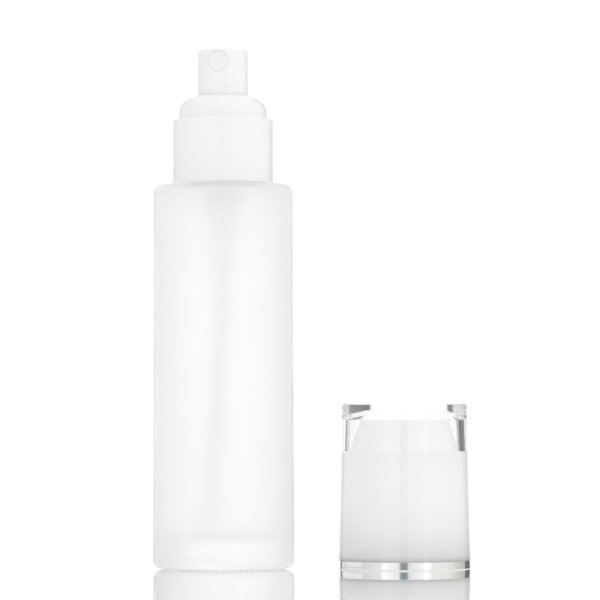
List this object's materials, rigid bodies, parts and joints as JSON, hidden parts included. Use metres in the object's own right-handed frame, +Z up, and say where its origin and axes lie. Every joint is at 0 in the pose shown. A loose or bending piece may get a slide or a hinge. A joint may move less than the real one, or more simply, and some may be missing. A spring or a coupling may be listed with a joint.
{
  "type": "foundation pump bottle",
  "caption": "Round frosted glass bottle with a screw-on pump in a white collar and a separate clear overcap with a white liner and chrome ring standing beside it.",
  "frame": {"origin": "centre of the bottle's standing ring, on the plane that the bottle and the cap stand on", "axes": "+Z up the bottle's axis, -Y the way the nozzle side faces (the nozzle is turned 10 degrees towards -X), +X from the bottle towards the cap"},
  "size_m": [0.0891, 0.0396, 0.1458],
  "materials": {
    "frosted_glass": "acid-frosted, satin",
    "white_gloss": "polished white moulding",
    "white_satin": "satin white moulding",
    "white_liner": "smooth white moulding",
    "pump_plastic": "natural white moulding",
    "tube_plastic": "translucent extruded tube",
    "soft_seal": "soft matt seal",
    "steel": "bright drawn steel",
    "clear_plastic": "polished clear acrylic",
    "chrome_ring": "bright chrome-plated moulding"
  },
  "bodies": {
    "bottle": {"glass_bottle": "frosted_glass"},
    "pump": {"neck_gasket": "soft_seal", "pump_housing": "pump_plastic", "housing_retainer": "pump_plastic", "stem_seal": "soft_seal", "return_spring": "steel", "dip_tube": "tube_plastic"},
    "collar": {"screw_ferrule": "pump_plastic", "collar_cover": "white_gloss"},
    "stem": {"stem": "pump_plastic", "valve_rod": "pump_plastic"},
    "piston": {"piston": "pump_plastic"},
    "inlet_ball": {"inlet_ball": "steel"},
    "actuator": {"actuator": "white_gloss", "nozzle_insert": "white_satin"},
    "cap": {"cap_shell": "clear_plastic", "cap_liner": "white_liner", "cap_ring": "chrome_ring"}
  },
  "joints": [
    {"name": "pump_rise", "type": "slide", "parent": "bottle", "child": "pump", "axis": [0, 0, 1], "range_m": [0, 0.00397]},
    {"name": "collar_unscrew", "type": "hinge", "parent": "pump", "child": "collar", "pos_m": [0, 0, 0.118], "axis": [0, 0, 1], "range_deg": [0, 450]},
    {"name": "pump_press", "type": "slide", "parent": "pump", "child": "stem", "axis": [0, 0, -1], "range_m": [0, 0.004], "stiffness_N_per_m": 800, "springref_m": -0.001, "deforming": ["return_spring"]},
    {"name": "actuator_turn", "type": "hinge", "parent": "stem", "child": "actuator", "pos_m": [0, 0, 0.134], "axis": [0, 0, 1], "continuous": true},
    {"name": "piston_shift", "type": "slide", "parent": "stem", "child": "piston", "axis": [0, 0, 1], "range_m": [0, 0.00045]},
    {"name": "inlet_ball_lift", "type": "slide", "parent": "pump", "child": "inlet_ball", "axis": [0, 0, 1], "range_m": [0, 0.0008]},
    {"name": "cap_lift", "type": "slide", "parent": "bottle", "child": "cap", "axis": [0, 0, 1], "range_m": [0, 0.16]}
  ],
  "couplings": [
    {"joint": "collar_unscrew", "follows": "pump_rise", "rad_per_m": 1979}
  ]
}
